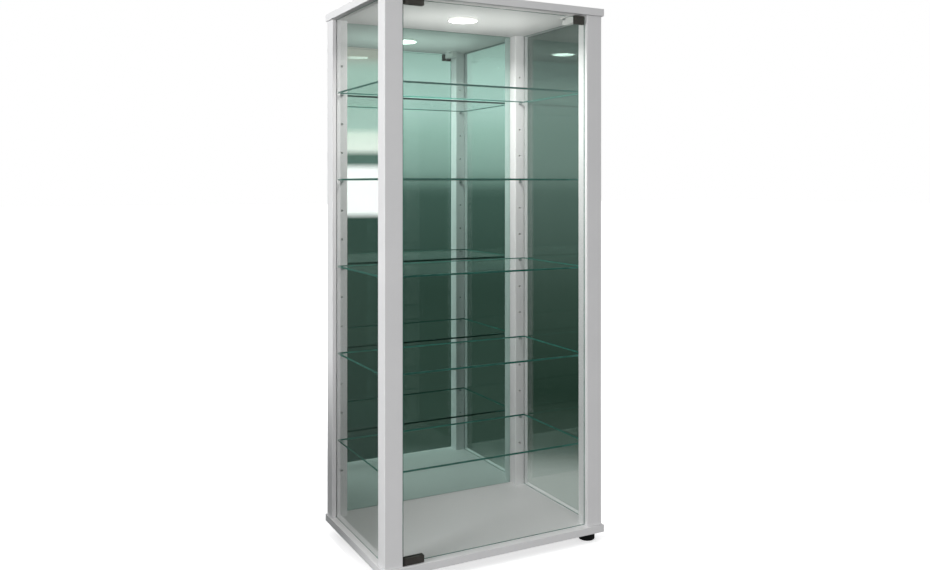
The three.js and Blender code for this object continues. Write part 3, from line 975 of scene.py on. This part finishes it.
def whiteFloor():
    half = floorLook["half"]
    corners = [(-half, -half, 0), (half, -half, 0), (half, half, 0), (-half, half, 0)]
    floor = newObject("floor", meshFrom(corners, [(0, 1, 2, 3)], "floor"))
    finish = Finish("floorPaint", {"Roughness": 0.8, "Specular IOR Level": 0.1})
    finish.shader.inputs["Base Color"].default_value = rgb(*floorLook["colour"])
    finish.shader.inputs["Emission Strength"].default_value = 1.0
    away = finish.add("ShaderNodeVectorMath", {"operation": "LENGTH"}, {0: finish.place}, output=1)
    near, far = floorLook["glowNear"], floorLook["glowFar"]
    glow = finish.mix(away.over(*floorLook["fade"]), rgb(near, near, near), rgb(far, far, far))
    finish.drive("Emission Color", glow)
    floor.data.materials.append(finish.material)
    hideFrom(floor, "diffuse", "glossy", "transmission")


# what the glass and the mirror see towards each side, by the sine of the height above the horizon
roomStops = {
    "front": [
        (-1.0, (0.34, 0.37, 0.35)), (-0.31, (0.34, 0.37, 0.35)), (-0.285, (0.06, 0.085, 0.07)),
        (-0.12, (0.05, 0.08, 0.065)), (-0.01, (0.10, 0.15, 0.13)), (0.015, (0.42, 0.52, 0.48)),
        (0.06, (0.62, 0.76, 0.70)), (0.09, (0.88, 1.0, 0.97)), (0.12, (0.80, 0.92, 0.88)),
        (0.16, (0.46, 0.56, 0.52)), (0.3, (0.6, 0.66, 0.62)), (1.0, (0.9, 0.9, 0.88)),
    ],
    "rearRight": [
        (-1.0, (0.34, 0.37, 0.35)), (-0.31, (0.34, 0.37, 0.35)), (-0.285, (0.05, 0.075, 0.06)),
        (-0.23, (0.012, 0.03, 0.02)), (-0.12, (0.04, 0.07, 0.055)), (-0.01, (0.09, 0.14, 0.12)),
        (0.01, (0.12, 0.18, 0.155)), (0.1, (0.10, 0.16, 0.135)), (0.12, (0.03, 0.055, 0.045)),
        (0.2, (0.06, 0.075, 0.065)), (0.5, (0.5, 0.52, 0.5)), (1.0, (0.9, 0.9, 0.88)),
    ],
    "rearLeft": [
        (-1.0, (0.34, 0.37, 0.35)), (-0.4, (0.05, 0.07, 0.06)), (-0.01, (0.07, 0.11, 0.09)),
        (0.1, (0.16, 0.2, 0.18)), (0.2, (0.5, 0.52, 0.5)), (1.0, (0.9, 0.9, 0.88)),
    ],
    "window": [
        (-1.0, (0.34, 0.37, 0.35)), (-0.36, (0.34, 0.37, 0.35)), (-0.33, (0.02, 0.035, 0.03)),
        (-0.12, (0.05, 0.08, 0.065)), (-0.038, (0.06, 0.10, 0.085)), (-0.035, (3.1, 2.35, 2.5)),
        (0.021, (3.1, 2.35, 2.5)), (0.0225, (0.22, 0.3, 0.27)), (0.032, (0.22, 0.3, 0.27)),
        (0.034, (2.5, 1.95, 1.95)), (0.060, (2.0, 1.75, 1.65)), (0.062, (1.1, 1.15, 1.1)),
        (0.13, (0.9, 1.0, 0.93)), (0.14, (0.75, 0.6, 0.55)), (0.3, (0.5, 0.45, 0.4)),
        (1.0, (0.9, 0.9, 0.88)),
    ],
}
roomLook = {
    "windowFrom": (0.28, 0.30), "windowTo": (0.386, 0.394),  # sines of the angle round from straight ahead
    "turn": 0.1,  # how softly one side gives way to the next
    "above": (0.30, 0.30, 0.305), "below": (0.13, 0.13, 0.135), "fade": 0.6,
    "backdrop": (1.0, 1.0, 1.0),
}


def room():
    look = roomLook
    world = bpy.data.worlds.new("room")
    bpy.context.scene.world = world
    world.use_nodes = True
    tree = Tree(world.node_tree)
    direction = tree.add("ShaderNodeTexCoord", output=0)
    across, along, height = (
        tree.add("ShaderNodeSeparateXYZ", {}, {"Vector": direction}, output=i) for i in range(3))
    seen = {}
    for side, stops in roomStops.items():
        ramp = [(0.5 + 0.5 * sine, colour) for sine, colour in stops]
        seen[side] = tree.add("ShaderNodeValToRGB", {"stops": ramp}, {"Fac": 0.5 + 0.5 * height})
    rear = tree.mix(across.over(-look["turn"], look["turn"]), seen["rearLeft"], seen["rearRight"])
    flat = (across * across + along * along) ** 0.5
    turned = across / flat
    window = turned.over(*look["windowFrom"]) * (1 - turned.over(*look["windowTo"]))
    front = tree.mix(window, seen["front"], seen["window"])
    around = tree.mix(along.over(-look["turn"], look["turn"]), front, rear)
    kinds = world.node_tree.nodes.new("ShaderNodeLightPath").outputs
    ambient = tree.mix(height.over(-look["fade"], look["fade"]), rgb(*look["below"]), rgb(*look["above"]))
    soft = tree.mix(kinds["Is Diffuse Ray"], around, ambient)
    whole = tree.mix(kinds["Is Camera Ray"], soft, rgb(*look["backdrop"]))
    feed(world.node_tree, world.node_tree.nodes["Background"].inputs["Color"], whole)


lamps = {
    "keyLeft": {"place": (-2.4, -0.3, 1.4), "aim": (0, 0, 0.95), "size": (1.4, 1.4), "power": 48.0,
                "colour": (1.0, 1.0, 1.0)},
    "fillFront": {"place": (-0.7, -3.1, 0.45), "aim": (-0.2, 0, 0.1), "size": (2.0, 0.8), "power": 32.0,
                  "colour": (1.0, 0.99, 0.985)},
    "rear": {"place": (0.0, 3.0, 1.3), "aim": (0, 0, 0.6), "size": (1.2, 1.2), "power": 13.0,
             "colour": (1.0, 1.0, 1.0), "spread": 90},
    "rearRight": {"place": (1.8, 2.4, 1.8), "aim": (0, 0, 0.6), "size": (1.8, 1.6), "power": 14.0,
                  "colour": (1.0, 1.0, 1.0)},
    "lampDown": {"place": (0, 0, 1.124), "aim": (0, 0, 0), "size": (0.045, 0.045), "power": 2.6,
                 "colour": (1.0, 0.99, 0.96), "spread": 158},
    "underTop": {"place": (0, 0.0, 0.99), "aim": (0, 0, 2), "size": (0.36, 0.2), "power": 0.5,
                 "colour": (1.0, 0.99, 0.95)},
}


def studioLights():
    for name, settings in lamps.items():
        data = bpy.data.lights.new(name, "AREA")
        data.shape = "RECTANGLE"
        data.size, data.size_y = settings["size"]
        data.energy = settings["power"]
        data.color = settings["colour"]
        data.spread = math.radians(settings.get("spread", 180))
        light = newObject(name, data)
        light.location = settings["place"]
        aim = Vector(settings["aim"]) - Vector(settings["place"])
        light.rotation_euler = aim.to_track_quat("-Z", "Y").to_euler()
        hideFrom(light, "camera", "glossy", "transmission")


flagSizes = {"across": -0.55, "from": -0.08, "to": 0.6, "top": 0.42}


def shadingFlag():
    # a board beside the low rear left corner, which only keeps the left lamp off it
    s = flagSizes
    corners = [(s["across"], s["from"], 0), (s["across"], s["to"], 0), (s["across"], s["to"], s["top"]),
               (s["across"], s["from"], s["top"])]
    flag = newObject("shadingFlag", meshFrom(corners, [(0, 1, 2, 3)], "shadingFlag"))
    flag.data.materials.append(looks["backing"])
    hideFrom(flag, "camera", "diffuse", "glossy", "transmission")


standCamera()
whiteFloor()
shadingFlag()
room()
studioLights()
scene = bpy.context.scene
scene.view_settings.view_transform = "Standard"
scene.cycles.caustics_refractive = False  # the panes already let the lamps' light through
scene.cycles.caustics_reflective = False
scene.cycles.max_bounces = 20
scene.cycles.transmission_bounces = 18
scene.cycles.glossy_bounces = 8
print("stage made")


bpy.context.view_layer.update()
